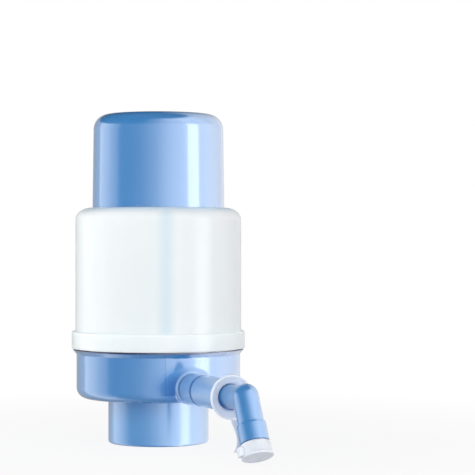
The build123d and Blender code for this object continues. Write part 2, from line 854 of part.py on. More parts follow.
def main():
    """Build each piece and write it to its own STEP file."""
    os.makedirs("parts", exist_ok=True)
    for build_piece in PIECES:
        export_step(build_piece(), f"parts/{build_piece.__name__}.step")
    valves = {
        "outlet_valve": umbrella_valve(DECK_LOW, DECK_TOP),
        "intake_valve": umbrella_valve(INSERT_LOW, INSERT_TOP),
    }
    for name, valve in valves.items():
        export_step(valve, f"parts/{name}.step")


main()
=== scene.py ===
"""Looks, lights and camera for the water jug hand pump, dressed round its CAD frame.

The frame has +Z up, the spout towards -Y and its origin in the middle of the collar's lower rim.
Blender's lengths are metres. The outlines of pieces are drawn in millimetres and scaled by MM.
"""
import math

import bmesh
import bpy
from mathutils import Color, Matrix, Vector


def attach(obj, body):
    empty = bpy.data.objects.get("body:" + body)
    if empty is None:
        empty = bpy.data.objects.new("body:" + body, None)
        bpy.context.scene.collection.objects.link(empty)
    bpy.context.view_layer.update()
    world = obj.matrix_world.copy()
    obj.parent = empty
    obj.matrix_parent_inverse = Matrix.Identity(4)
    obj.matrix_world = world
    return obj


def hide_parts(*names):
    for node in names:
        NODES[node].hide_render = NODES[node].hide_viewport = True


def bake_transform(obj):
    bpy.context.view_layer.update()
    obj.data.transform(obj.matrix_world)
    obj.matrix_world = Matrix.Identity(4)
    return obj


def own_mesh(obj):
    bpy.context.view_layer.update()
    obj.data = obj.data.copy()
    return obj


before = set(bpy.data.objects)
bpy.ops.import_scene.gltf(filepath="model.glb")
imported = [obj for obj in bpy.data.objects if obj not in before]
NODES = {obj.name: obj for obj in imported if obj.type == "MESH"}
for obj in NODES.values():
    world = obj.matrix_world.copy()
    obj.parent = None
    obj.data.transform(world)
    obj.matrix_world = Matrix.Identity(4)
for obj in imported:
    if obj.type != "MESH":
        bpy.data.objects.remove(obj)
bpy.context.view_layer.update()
MM = 0.001
# Height of the spout arm's axis, from which its marks and its pieces are placed.
ARM_Z = 37.1 * MM


# ---------------------------------------------------------------- camera
# The image is IMAGE_PX wide. The pump's axis stands at AXIS_PX in it, where a pixel covers AXIS_SCALE.
IMAGE_PX = 475
AXIS_PX = 158.5
AXIS_SCALE = 0.625 * MM
FOCAL_PX = 1850.0
SENSOR = 36.0
CLIP_END = 20.0
CAMERA_TURN = math.radians(-24.5)
CAMERA_HEIGHT = 127.7 * MM


def add_camera():
    """Level camera, far off, with the pump left of the image's middle."""
    distance = FOCAL_PX * AXIS_SCALE
    sideways = (IMAGE_PX / 2 - AXIS_PX) * AXIS_SCALE
    back = Vector((math.sin(CAMERA_TURN), -math.cos(CAMERA_TURN), 0))
    right = Vector((math.cos(CAMERA_TURN), math.sin(CAMERA_TURN), 0))
    data = bpy.data.cameras.new("view_camera")
    data.sensor_width = SENSOR
    data.lens = FOCAL_PX / IMAGE_PX * SENSOR
    data.clip_end = CLIP_END
    camera = bpy.data.objects.new("view_camera", data)
    camera.location = back * distance + right * sideways + Vector((0, 0, CAMERA_HEIGHT))
    camera.rotation_euler = (math.pi / 2, 0, CAMERA_TURN)
    bpy.context.collection.objects.link(camera)
    bpy.context.scene.camera = camera


# ---------------------------------------------------------------- colours
def srgb(red, green, blue):
    """Linear colour for an 8-bit screen colour."""
    screen = Color((red / 255, green / 255, blue / 255))
    return (*screen.from_srgb_to_scene_linear(), 1.0)


def grey(level):
    """Linear grey."""
    return (level, level, level, 1.0)


WHITE = grey(1.0)


# ---------------------------------------------------------------- node helpers
VALUE = "NodeSocketFloat"
COLOUR = "NodeSocketColor"


def node(tree, kind, sockets=None, **settings):
    """New shader node; sockets gives each input a value or links it to another node's output."""
    made = tree.nodes.new(kind)
    for key, value in settings.items():
        setattr(made, key, value)
    for key, value in (sockets or {}).items():
        if isinstance(value, bpy.types.NodeSocket):
            tree.links.new(value, made.inputs[key])
        else:
            made.inputs[key].default_value = value
    return made


def maths(tree, operation, *values):
    """Result of a Math node on values, which are numbers or other nodes' outputs."""
    return node(tree, "ShaderNodeMath", dict(enumerate(values)), operation=operation).outputs[0]


def ramp(tree, value, start, end, low=0.0, high=1.0, shape="LINEAR"):
    """Output that goes from low to high as value goes from start to end, and is level beyond."""
    made = node(
        tree, "ShaderNodeMapRange",
        {"Value": value, "From Min": start, "From Max": end, "To Min": low, "To Max": high},
        interpolation_type=shape,
    )
    return made.outputs["Result"]


def mixed_colour(tree, share, first, second):
    """Colour between first and second; a Mix node's colour sockets are its numbers 6, 7 and output 2."""
    return node(tree, "ShaderNodeMix", {0: share, 6: first, 7: second}, data_type="RGBA").outputs[2]


def object_place(tree):
    """Place in the CAD frame, in metres."""
    return node(tree, "ShaderNodeTexCoord").outputs["Object"]


def axes(tree, place):
    """X, Y and Z outputs of a place."""
    return node(tree, "ShaderNodeSeparateXYZ", {0: place}).outputs


def turned_axes(tree, place, angle):
    """X, Y and Z outputs of a place that is turned by an angle about the upright axis."""
    turned = node(tree, "ShaderNodeVectorRotate", {"Vector": place, "Angle": angle}, rotation_type="Z_AXIS")
    return axes(tree, turned.outputs[0])


def new_group(name, inputs, outputs):
    """Empty node group with named sockets; returns its tree and the outputs of its input node."""
    group = bpy.data.node_groups.new(name, "ShaderNodeTree")
    for label, value in inputs.items():
        kind = VALUE if isinstance(value, float) else COLOUR
        group.interface.new_socket(label, in_out="INPUT", socket_type=kind).default_value = value
    for label, kind in outputs.items():
        group.interface.new_socket(label, in_out="OUTPUT", socket_type=kind)
    return group, node(group, "NodeGroupInput").outputs


def effect(tree, name, values):
    """Place a shared effect's group in a material; returns its outputs."""
    return node(tree, "ShaderNodeGroup", values, node_tree=GROUPS[name]).outputs


def new_material(name):
    """Empty material; returns it and its tree."""
    material = bpy.data.materials.new(name)
    material.use_nodes = True
    material.node_tree.nodes.clear()
    return material, material.node_tree


# ---------------------------------------------------------------- studio
# Turns are in degrees round the pump from the camera's direction, positive to its right.
LAMP_RING_R = 1.2
SOFT_LAMPS = {
    "soft_left": {"turns": (-130, -60), "heights": (0.0, 1.0), "radiance": 1.7},
    "soft_front": {"turns": (-40, 30), "heights": (0.0, 1.1), "radiance": 1.85},
    "soft_right": {"turns": (40, 110), "heights": (0.0, 1.0), "radiance": 0.5},
}
AMBIENT = 0.4
# What polished plastic sees round the room: (turn, brightness) of the walls' cards, then of the ones above.
# The shader keeps them as shares of CARD_PEAK.
WALL_CARDS = (
    (-180, 0.4), (-150, 0.5), (-130, 0.8), (-124, 1.0), (-122, 2.2), (-110, 2.2), (-100, 2.3), (-86, 1.7),
    (-74, 1.2), (-71, 0.5), (-62, 0.35), (-45, 0.5), (-34, 0.6), (-23, 0.9), (-12, 1.4), (0, 2.0), (12, 3.0),
    (24, 3.8), (36, 4.5), (46, 4.8), (54, 5.3), (56, 9.0), (76, 9.0), (79, 5.2), (86, 4.9), (96, 4.7),
    (108, 4.0), (122, 2.9), (138, 1.8), (155, 1.3), (180, 0.5),
)
HIGH_CARDS = (
    (-180, 0.05), (-30, 0.05), (0, 1.4), (25, 3.4), (45, 4.1), (58, 5.0), (75, 4.5), (95, 4.2), (115, 2.8),
    (140, 1.9), (180, 0.1),
)
CARD_PEAK = 9.0
FLOOR_GLEAM = 0.5
CEILING_GLEAM = 0.15
# Each layer of the room takes over between these rises of a direction, from -1, down, to 1, up.
WALL_FOOT = (-0.98, -0.8)
WALL_TOP = (0.33, 0.36)
CEILING_EDGE = (0.84, 0.90)
# The floor's paper glows at SHADE_LEVEL near the pump, which leaves its shadow seen, and fully further off.
FLOOR_SIZE = 16.0
SHADE_REACH = (0.126, 0.42)
SHADE_LEVEL = 0.88
PAPER_GREY = 0.8


def add_lamp(name, turns, heights, radiance):
    """Upright lamp in the ring round the pump, which shades it but doesn't show in its gloss."""
    data = bpy.data.lights.new(name, "AREA")
    data.shape = "RECTANGLE"
    data.size = 2 * LAMP_RING_R * math.tan(math.radians(turns[1] - turns[0]) / 2)
    data.size_y = heights[1] - heights[0]
    data.energy = radiance * math.pi * data.size * data.size_y
    lamp = bpy.data.objects.new(name, data)
    angle = CAMERA_TURN + math.radians(sum(turns)) / 2
    inward = Vector((-math.sin(angle), math.cos(angle), 0))
    lamp.location = Vector((0, 0, sum(heights) / 2)) - inward * LAMP_RING_R
    lamp.rotation_euler = inward.to_track_quat("-Z", "Y").to_euler()
    lamp.visible_camera = False
    lamp.visible_glossy = False
    bpy.context.collection.objects.link(lamp)


def card_ramp(tree, turn, cards):
    """Brightness of a ring of cards, as a share of the brightest, along the turn."""
    made = node(tree, "ShaderNodeValToRGB", {0: turn})
    stops = made.color_ramp.elements
    stops.remove(stops[1])
    for index, (where, brightness) in enumerate(cards):
        place = where / 360 + 0.5
        stop = stops.new(place) if index else stops[0]
        stop.position = place
        stop.color = grey(brightness / CARD_PEAK)
    return made.outputs[0]


def room_gleam(tree):
    """Brightness that gloss sees in each direction: dim floor, cards on the walls and above, dim ceiling."""
    direction = node(tree, "ShaderNodeTexCoord").outputs["Generated"]
    seen = turned_axes(tree, direction, -CAMERA_TURN)
    nearer = maths(tree, "MULTIPLY", seen["Y"], -1.0)
    turn = ramp(tree, maths(tree, "ARCTAN2", seen["X"], nearer), -math.pi, math.pi)
    layers = (
        (WALL_FOOT, card_ramp(tree, turn, WALL_CARDS)),
        (WALL_TOP, card_ramp(tree, turn, HIGH_CARDS)),
        (CEILING_EDGE, grey(CEILING_GLEAM / CARD_PEAK)),
    )
    room = grey(FLOOR_GLEAM / CARD_PEAK)
    for edge, layer in layers:
        room = mixed_colour(tree, ramp(tree, seen["Z"], *edge), room, layer)
    return maths(tree, "MULTIPLY", room, CARD_PEAK)


def add_world():
    """White surroundings for the eye, even light for shading, and the room's cards for gloss."""
    world = bpy.data.worlds.new("studio_white")
    world.use_nodes = True
    tree = world.node_tree
    tree.nodes.clear()
    ray = node(tree, "ShaderNodeLightPath").outputs
    shading = ramp(tree, ray["Is Glossy Ray"], 0.0, 1.0, AMBIENT, room_gleam(tree))
    straight = maths(tree, "MAXIMUM", ray["Is Camera Ray"], ray["Is Transmission Ray"])
    level = ramp(tree, straight, 0.0, 1.0, shading, 1.0)
    background = node(tree, "ShaderNodeBackground", {"Color": WHITE, "Strength": level})
    node(tree, "ShaderNodeOutputWorld", {"Surface": background.outputs[0]})
    bpy.context.scene.world = world


def floor_paper():
    """White paper: it shows the pump's soft shadow close by, and is plain white further off."""
    material, tree = new_material("floor_paper")
    away = node(tree, "ShaderNodeVectorMath", {0: object_place(tree)}, operation="LENGTH")
    fade = ramp(tree, away.outputs["Value"], *SHADE_REACH, SHADE_LEVEL, 1.0, "SMOOTHSTEP")
    ray = node(tree, "ShaderNodeLightPath").outputs
    share = maths(tree, "MULTIPLY", ray["Is Camera Ray"], fade)
    paper = node(tree, "ShaderNodeBsdfDiffuse", {"Color": grey(PAPER_GREY)})
    glow = node(tree, "ShaderNodeEmission", {"Color": WHITE, "Strength": 1.0})
    mix = node(tree, "ShaderNodeMixShader", {0: share, 1: paper.outputs[0], 2: glow.outputs[0]})
    node(tree, "ShaderNodeOutputMaterial", {"Surface": mix.outputs[0]})
    return material


def add_floor():
    """Plain pale floor under the collar."""
    mesh = bpy.data.meshes.new("floor")
    half = FLOOR_SIZE / 2
    corners = [(-half, -half, 0), (half, -half, 0), (half, half, 0), (-half, half, 0)]
    mesh.from_pydata(corners, [], [(0, 1, 2, 3)])
    floor = bpy.data.objects.new("floor", mesh)
    bpy.context.collection.objects.link(floor)
    floor.data.materials.append(floor_paper())
    floor.visible_glossy = False


def light_the_studio():
    """Lamps, surroundings and floor."""
    for name, lamp in SOFT_LAMPS.items():
        add_lamp(name, **lamp)
    add_world()
    add_floor()
    bpy.context.scene.view_settings.view_transform = "Standard"


# ---------------------------------------------------------------- shared surface effects
PEEL_DETAIL = 2.0
RIPPLE_DETAIL = 1.0
RIPPLE_STRETCH = (1.0, 1.0, 0.3)
CLOUD_NOISE = {"Scale": 34.0, "Detail": 3.0}
CLOUD_EDGES = (0.32, 0.68)
SCUFF_NOISE = {"Scale": 300.0, "Detail": 3.0}
SCUFF_EDGES = (0.5, 0.66)
SCUFF_ROUGH = 0.12
SCUFF_PALE = 0.04
BAND_RISE = 2.0 * MM
JOINT_SHADE = 0.8
JOINT_BLUR = 0.5 * MM


def noise(tree, size, place, detail):
    """Noise whose lumps are about size across."""
    scale = maths(tree, "DIVIDE", 1.0, size)
    return node(tree, "ShaderNodeTexNoise", {"Vector": place, "Scale": scale, "Detail": detail}).outputs[0]


def peel_and_ripple_group():
    """Relief of a made surface: fine peel over long ripples, with a slow cloudy mask."""
    inputs = {"Peel Size": 2.0 * MM, "Peel Depth": 0.0, "Ripple Size": 20.0 * MM, "Ripple Depth": 0.0}
    group, given = new_group("peel_and_ripple", inputs, {"Height": VALUE, "Cloud": VALUE})
    place = object_place(group)
    drawn = node(group, "ShaderNodeMapping", {"Vector": place, "Scale": RIPPLE_STRETCH}).outputs[0]
    peel = noise(group, given["Peel Size"], place, PEEL_DETAIL)
    ripple = noise(group, given["Ripple Size"], drawn, RIPPLE_DETAIL)
    fine = maths(group, "MULTIPLY", peel, given["Peel Depth"])
    height = maths(group, "MULTIPLY_ADD", ripple, given["Ripple Depth"], fine)
    cloud = node(group, "ShaderNodeTexNoise", {"Vector": drawn, **CLOUD_NOISE})
    level = ramp(group, cloud.outputs[0], *CLOUD_EDGES)
    node(group, "NodeGroupOutput", {"Height": height, "Cloud": level})
    return group


def rim_scuff_group():
    """Mask of small scuffs along a rim at a given height, broken up like real rubbing."""
    group, given = new_group("rim_scuff", {"Rim Height": 0.0, "Reach": MM}, {"Mask": VALUE})
    place = object_place(group)
    away = maths(group, "ABSOLUTE", maths(group, "SUBTRACT", axes(group, place)["Z"], given["Rim Height"]))
    near = ramp(group, away, 0.0, given["Reach"], 1.0, 0.0)
    broken = node(group, "ShaderNodeTexNoise", {"Vector": place, **SCUFF_NOISE})
    bits = ramp(group, broken.outputs[0], *SCUFF_EDGES)
    node(group, "NodeGroupOutput", {"Mask": maths(group, "MULTIPLY", near, bits)})
    return group


def handled_gloss_group():
    """Roughness of a surface that hands touch: clean gloss, duller smudges and duller scuffs."""
    inputs = {"Clean": 0.1, "Smudged": 0.2, "Cloud": 0.5, "Scuff": 0.0}
    group, given = new_group("handled_gloss", inputs, {"Roughness": VALUE})
    smudge = ramp(group, given["Cloud"], 0.0, 1.0, given["Clean"], given["Smudged"])
    rough = maths(group, "MULTIPLY_ADD", given["Scuff"], SCUFF_ROUGH, smudge)
    node(group, "NodeGroupOutput", {"Roughness": rough})
    return group


def drifting_tint_group():
    """Colour that drifts slowly between two tones, with paler scuffed spots."""
    inputs = {"Colour": WHITE, "Shade": WHITE, "Cloud": 0.5, "Scuff": 0.0}
    group, given = new_group("drifting_tint", inputs, {"Colour": COLOUR})
    drift = mixed_colour(group, given["Cloud"], given["Colour"], given["Shade"])
    pale = maths(group, "MULTIPLY", given["Scuff"], SCUFF_PALE)
    node(group, "NodeGroupOutput", {"Colour": mixed_colour(group, pale, drift, WHITE)})
    return group


def upright_band_group():
    """Mask of a soft upright band on the front, above a foot height and at a turn from the spout."""
    inputs = {"Turn": 0.0, "Half Width": MM, "Strength": 1.0, "Foot": 0.0}
    group, given = new_group("upright_band", inputs, {"Mask": VALUE})
    back = maths(group, "MULTIPLY", given["Turn"], -1.0)
    place = turned_axes(group, object_place(group), back)
    away = maths(group, "ABSOLUTE", place["X"])
    near = ramp(group, away, 0.0, given["Half Width"], given["Strength"], 0.0, "SMOOTHSTEP")
    band = maths(group, "MULTIPLY", near, maths(group, "LESS_THAN", place["Y"], 0.0))
    above = ramp(group, place["Z"], given["Foot"], maths(group, "ADD", given["Foot"], BAND_RISE))
    node(group, "NodeGroupOutput", {"Mask": maths(group, "MULTIPLY", band, above)})
    return group


def joint_shade_group():
    """Mask of the shade that gathers in a joint round the arm, Middle being the joint's place along it."""
    group, given = new_group("joint_shade", {"Middle": 0.0, "Half Width": 0.5 * MM}, {"Mask": VALUE})
    along = axes(group, object_place(group))["Y"]
    away = maths(group, "ABSOLUTE", maths(group, "ADD", along, given["Middle"]))
    end = maths(group, "ADD", given["Half Width"], JOINT_BLUR)
    node(group, "NodeGroupOutput", {"Mask": ramp(group, away, given["Half Width"], end, JOINT_SHADE, 0.0)})
    return group


# ---------------------------------------------------------------- finishes
# Colours are in pairs where a material drifts between two tones.
BLUE = (srgb(64, 132, 192), srgb(58, 126, 187))
# Paler blue that stands in for the brighter light on the collar: painted light.
COLLAR_LIT_BLUE = (srgb(84, 145, 198), srgb(78, 140, 194))
# Paler blue that stands in for a white sheen: painted sheen on the nut, the arm and the boss's face.
SHEEN_PALE_BLUE = (srgb(124, 165, 213), srgb(115, 158, 208))
# Painted shade on the base's wall beside the spout boss.
BOSS_SHADE_BLUE = srgb(34, 98, 168)
# Painted shade in the arm's joints.
JOINT_SHADE_BLUE = srgb(40, 88, 156)
# Painted shade in the base's joint under the skirt and along its parting line.
SHADE_NAVY = srgb(26, 52, 104)
MILK = (srgb(241, 248, 253), srgb(235, 244, 250))
# Painted shadow band down the milky wall and painted reflection of the blue cap on its shoulder.
SHADOW_AND_REFLECTION_MILK = srgb(212, 230, 240)
FOLD_MILK = (srgb(232, 238, 242), srgb(218, 228, 236))
SOFT_WHITE = (srgb(231, 235, 242), srgb(217, 223, 234))
STIFF_WHITE = (srgb(236, 239, 241), srgb(226, 231, 235))
CLOUDY_RUBBER = (srgb(222, 228, 230), srgb(205, 214, 219))
STEEL = (srgb(198, 200, 203), srgb(176, 178, 184))

# Finishes of the blue parts: tones, (clean, smudged) roughness, and the outer skin's roughness.
POLISHED = {"tones": BLUE, "gloss": (0.2, 0.26), "skin": 0.04}
SHINY = {"tones": BLUE, "gloss": (0.22, 0.3), "skin": 0.08}
SATIN = {"tones": BLUE, "gloss": (0.3, 0.38), "skin": 0.18}
# The collar's tones hold painted light.
SOFT_SHEEN = {"tones": COLLAR_LIT_BLUE, "gloss": (0.28, 0.36), "skin": 0.2}
# The nut's and arm's tones hold a painted sheen.
PAINTED_SHEEN_SATIN = {"tones": SHEEN_PALE_BLUE, "gloss": (0.32, 0.4), "skin": 0.24}
# Each blue node's rim height in mm, where scuffs gather, and its finish.
BLUE_NODES = {
    "press_cap": (147.0, POLISHED), "base_housing": (28.5, SHINY), "neck_collar": (0.4, SOFT_SHEEN),
    "spout_nut": (28.0, PAINTED_SHEEN_SATIN), "spout_arm": (28.0, PAINTED_SHEEN_SATIN), "spout_elbow": (44.0, SATIN),
    "nozzle_tip": (14.0, SATIN),
}
WHITE_NODES = ("valve_deck", "cap_insert", "bellows_clamp_ring", "water_riser", "cross_tube", "thrust_washer")
SILICONE_NODES = (
    "outlet_valve", "intake_valve", "riser_oring", "elbow_oring", "deck_gasket", "spout_gasket", "neck_seal",
)
STEEL_NODES = ("deck_screws", "bellows_band")

# Painted shade on the base: in the joint under the skirt, which comes in between two heights, and along its
# parting line.
SKIRT_SHADE_EDGE = (57.3 * MM, 57.9 * MM)
PARTING_LINE = {"Turn": math.radians(-17.5), "Half Width": 0.4 * MM, "Strength": 0.45, "Foot": 0.0}
# Zones round the spout boss: painted shade on the wall beside it, a duller skin, and the boss itself, whose
# face gets a painted sheen.
BOSS_SHADE_ZONE = {"squeeze": (0.5, 1.0), "reach": (5.5 * MM, 12.5 * MM), "side": (-8.5 * MM, -1.0 * MM)}
BOSS_DULL = {"squeeze": (0.5, 0.75), "reach": (6.0 * MM, 13.0 * MM), "side": (-12.0 * MM, 6.0 * MM)}
BOSS_SHEEN_ZONE = {"squeeze": (1.0, 1.0), "reach": (9.9 * MM, 10.8 * MM), "side": (0.0, 14.0 * MM)}
BOSS_ROUGH = 0.3
# The two joints that each of the arm's sleeves ends in, at (middle, half width) along the arm.
ARM_JOINTS = {
    "spout_nut": ((55.2 * MM, 0.9 * MM), (71.7 * MM, 0.6 * MM)),
    "spout_arm": ((73.2 * MM, 0.5 * MM), (107.4 * MM, 0.6 * MM)),
}
# The milky body: scuffed rim of its skirt, a painted shadow band down the wall, and a painted reflection of
# the blue cap on the rim of its shoulder.
SKIRT_RIM = 58.8 * MM
RIB_SHADOW_BAND = {"Turn": math.radians(-17.0), "Half Width": 8.0 * MM, "Strength": 0.8, "Foot": 69.0 * MM}
CAP_REFLECTION_RISE = (142.5 * MM, 146.0 * MM)
CAP_REFLECTION_SHARE = 0.9


# ---------------------------------------------------------------- materials
def light_inside(weight, depth, colour):
    """Shader constants for light that enters and comes out nearby, depth being how far it travels."""
    return {"Subsurface Weight": weight, "Subsurface Scale": depth, "Subsurface Radius": colour}


def handled_material(name, tones, gloss, peel, ripple, own, scuff=None):
    """Material with the shared effects on it; returns it and its shader.

    gloss is (clean, smudged) roughness, peel and ripple are (size, depth), scuff is a rim's (height,
    reach), and own holds the constants on the shader's sockets.
    """
    material, tree = new_material(name)
    surface = effect(
        tree, "peel_and_ripple",
        {"Peel Size": peel[0], "Peel Depth": peel[1], "Ripple Size": ripple[0], "Ripple Depth": ripple[1]},
    )
    marks = {"Cloud": surface["Cloud"]}
    if scuff:
        marks["Scuff"] = effect(tree, "rim_scuff", {"Rim Height": scuff[0], "Reach": scuff[1]})["Mask"]
    tint = effect(tree, "drifting_tint", {"Colour": tones[0], "Shade": tones[1], **marks})
    rough = effect(tree, "handled_gloss", {"Clean": gloss[0], "Smudged": gloss[1], **marks})
    bump = node(tree, "ShaderNodeBump", {"Strength": 1.0, "Distance": 1.0, "Height": surface["Height"]})
    shader = node(
        tree, "ShaderNodeBsdfPrincipled",
        {"Base Color": tint["Colour"], "Roughness": rough["Roughness"], "Normal": bump.outputs["Normal"],
         **own},
    )
    node(tree, "ShaderNodeOutputMaterial", {"Surface": shader.outputs[0]})
    return material, shader


def tint_over(shader, share, colour):
    """Lay a colour over the shader's Base Color by share."""
    tree = shader.id_data
    socket = shader.inputs["Base Color"]
    below = socket.links[0].from_socket
    tree.links.new(mixed_colour(tree, share, below, colour), socket)


def blue_plastic(name, rim, tones, gloss, skin):
    """Sky-blue polypropylene in two close tones. skin is the roughness of its outer skin."""
    own = {
        "IOR": 1.5, "Coat Weight": 1.0, "Coat IOR": 1.6, "Coat Roughness": skin,
        **light_inside(0.12, 1.5 * MM, (0.5, 0.8, 1.0)),
    }
    return handled_material(
        name, tones, gloss, peel=(1.6 * MM, 0.002 * MM), ripple=(30.0 * MM, 0.02 * MM), own=own,
        scuff=(rim, 0.9 * MM),
    )


def near_boss(tree, squeeze, reach, side):
    """Mask round the spout boss on the front.

    squeeze shrinks distances (sideways, upright). The mask is full up to reach[0] and ends at reach[1],
    and it also fades out sideways from side[0] to side[1].
    """
    place = object_place(tree)
    flat = node(
        tree, "ShaderNodeVectorMath", {0: place, 1: (squeeze[0], 0.0, squeeze[1])}, operation="MULTIPLY"
    )
    middle = (0.0, 0.0, ARM_Z * squeeze[1])
    away = node(tree, "ShaderNodeVectorMath", {0: flat.outputs[0], 1: middle}, operation="DISTANCE")
    near = ramp(tree, away.outputs["Value"], *reach, 1.0, 0.0, "SMOOTHSTEP")
    split = axes(tree, place)
    front = maths(tree, "LESS_THAN", split["Y"], 0.0)
    return maths(tree, "MULTIPLY", near, ramp(tree, split["X"], *side, front, 0.0))


def mark_base(shader):
    """The base's marks: painted shade beside the boss, a painted sheen on its face, and painted shade in the
    joint under the skirt and along the parting line.
    """
    tree = shader.id_data
    boss_shade, dull, face = (near_boss(tree, **zone) for zone in (BOSS_SHADE_ZONE, BOSS_DULL, BOSS_SHEEN_ZONE))
    coat = maths(tree, "MAXIMUM", maths(tree, "SUBTRACT", 1.0, dull), face)
    tree.links.new(coat, shader.inputs["Coat Weight"])
    smooth = shader.inputs["Roughness"].links[0].from_socket
    tree.links.new(maths(tree, "MULTIPLY_ADD", dull, BOSS_ROUGH, smooth), shader.inputs["Roughness"])
    joint = ramp(tree, axes(tree, object_place(tree))["Z"], *SKIRT_SHADE_EDGE)
    parting = effect(tree, "upright_band", PARTING_LINE)["Mask"]
    # Painted shade on the wall beside the boss.
    tint_over(shader, boss_shade, BOSS_SHADE_BLUE)
    # Painted sheen on the boss's face.
    tint_over(shader, face, SHEEN_PALE_BLUE[0])
    # Painted shade in the joint under the skirt and along the parting line.
    tint_over(shader, maths(tree, "MAXIMUM", joint, parting), SHADE_NAVY)


def mark_joints(shader, joints):
    """Shade in the arm's joints, where the outer skin is dull too."""
    tree = shader.id_data
    lines = [
        effect(tree, "joint_shade", {"Middle": middle, "Half Width": half})["Mask"] for middle, half in joints
    ]
    shade = maths(tree, "MAXIMUM", *lines)
    tint_over(shader, shade, JOINT_SHADE_BLUE)
    tree.links.new(maths(tree, "SUBTRACT", 1.0, shade), shader.inputs["Coat Weight"])


def milky_shell():
    """Thick milky polypropylene that glows a little where light passes through."""
    material, shader = handled_material(
        "milky_shell", tones=MILK, gloss=(0.12, 0.17),
        peel=(2.2 * MM, 0.002 * MM), ripple=(40.0 * MM, 0.04 * MM),
        own={"IOR": 1.45, "Specular IOR Level": 0.3, **light_inside(0.75, 3.0 * MM, (0.95, 1.0, 1.0))},
        scuff=(SKIRT_RIM, 0.8 * MM),
    )
    tree = shader.id_data
    # Painted reflection of the blue cap on the shoulder's rim, and a painted shadow band down the wall.
    cap_reflection = ramp(tree, axes(tree, object_place(tree))["Z"], *CAP_REFLECTION_RISE, 0.0, CAP_REFLECTION_SHARE)
    band = effect(tree, "upright_band", RIB_SHADOW_BAND)["Mask"]
    tint_over(shader, maths(tree, "MAXIMUM", cap_reflection, band), SHADOW_AND_REFLECTION_MILK)
    return material


def milky_bellows():
    """Softer milky polyethylene of the folded bellows."""
    return handled_material(
        "milky_bellows", tones=FOLD_MILK, gloss=(0.34, 0.44),
        peel=(1.2 * MM, 0.01 * MM), ripple=(12.0 * MM, 0.06 * MM),
        own=light_inside(0.8, 4.0 * MM, (0.8, 0.95, 1.0)),
    )[0]


def soft_white():
    """Satin polyethylene of the tether ring, strap and closing cap."""
    return handled_material(
        "soft_white", tones=SOFT_WHITE, gloss=(0.3, 0.42),
        peel=(0.7 * MM, 0.008 * MM), ripple=(6.0 * MM, 0.03 * MM),
        own={"IOR": 1.5, **light_inside(0.5, 2.0 * MM, (0.9, 0.95, 1.0))},
    )[0]


def stiff_white():
    """Plain white plastic of the deck, insert, clamp ring, riser and washer."""
    return handled_material(
        "stiff_white", tones=STIFF_WHITE, gloss=(0.24, 0.36),
        peel=(1.2 * MM, 0.006 * MM), ripple=(20.0 * MM, 0.04 * MM),
        own=light_inside(0.2, 2.0 * MM, (0.9, 0.95, 1.0)),
    )[0]


def clear_silicone():
    """Cloudy rubber of the valves, seals and gaskets."""
    return handled_material(
        "clear_silicone", tones=CLOUDY_RUBBER, gloss=(0.42, 0.55),
        peel=(0.6 * MM, 0.01 * MM), ripple=(8.0 * MM, 0.04 * MM),
        own={"IOR": 1.41, **light_inside(0.7, 3.0 * MM, (0.9, 0.95, 1.0))},
    )[0]


def drawn_steel():
    """Bright stainless steel with fine drawing lines and a faint oil stain."""
    return handled_material(
        "drawn_steel", tones=STEEL, gloss=(0.18, 0.32),
        peel=(0.3 * MM, 0.006 * MM), ripple=(4.0 * MM, 0.01 * MM),
        own={"Metallic": 1.0},
    )[0]


# ---------------------------------------------------------------- making pieces
SAME_POINT = 0.0001 * MM
SEGMENTS = 96


def frame_along(origin, x_axis, z_axis):
    """Matrix of a local frame, as the CAD source places its arm and drop tube."""
    x_axis, z_axis = Vector(x_axis), Vector(z_axis)
    y_axis = z_axis.cross(x_axis)
    turn = Matrix((x_axis, y_axis, z_axis)).transposed().to_4x4()
    return Matrix.Translation(Vector(origin)) @ turn


CORNER = 130.9 * MM
DROP_ANGLE = math.radians(63.6)
UPRIGHT = Matrix.Identity(4)
ARM = frame_along((0, 0, ARM_Z), (1, 0, 0), (0, -1, 0))
DROP = frame_along((0, -CORNER, ARM_Z), (1, 0, 0), (0, -math.cos(DROP_ANGLE), -math.sin(DROP_ANGLE)))


def add_piece(name, shape, material, body):
    """Smooth mesh object from (vertices, faces), which rides on a CAD body if one is given."""
    vertices, faces = shape
    mesh = bpy.data.meshes.new(name)
    mesh.from_pydata(vertices, [], faces)
    mesh.update()
    clean = bmesh.new()
    clean.from_mesh(mesh)
    bmesh.ops.remove_doubles(clean, verts=clean.verts, dist=SAME_POINT)
    loose = [edge for edge in clean.edges if not edge.link_faces]
    bmesh.ops.delete(clean, geom=loose, context="EDGES")
    bmesh.ops.recalc_face_normals(clean, faces=clean.faces)
    clean.to_mesh(mesh)
    clean.free()
    mesh.shade_smooth()
    piece = bpy.data.objects.new(name, mesh)
    bpy.context.collection.objects.link(piece)
    piece.data.materials.append(material)
    if body:
        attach(piece, body)
    return piece


def subdivide(piece, levels=1):
    """Round a piece with a subdivision surface."""
    modifier = piece.modifiers.new("rounding", "SUBSURF")
    modifier.levels = levels
    modifier.render_levels = levels


def lathe(outline, place):
    """Shape of a closed (radius, height) outline, turned about a frame's Z axis."""
    vertices = []
    for step in range(SEGMENTS):
        angle = 2 * math.pi * step / SEGMENTS
        for radius, height in outline:
            local = Vector((radius * math.cos(angle), radius * math.sin(angle), height)) * MM
            vertices.append(place @ local)
    faces = []
    count = len(outline)
    for step in range(SEGMENTS):
        here, there = step * count, (step + 1) % SEGMENTS * count
        for point in range(count):
            after = (point + 1) % count
            faces.append((here + point, here + after, there + after, there + point))
    return vertices, faces


def tube_faces(rings, around):
    """Faces between rings of around points each, and over the two ends."""
    faces = []
    for ring in range(rings - 1):
        for side in range(around):
            here, after = ring * around + side, ring * around + (side + 1) % around
            faces.append((here, after, after + around, here + around))
    last = (rings - 1) * around
    faces.append(tuple(range(around))[::-1])
    faces.append(tuple(range(last, last + around)))
    return faces


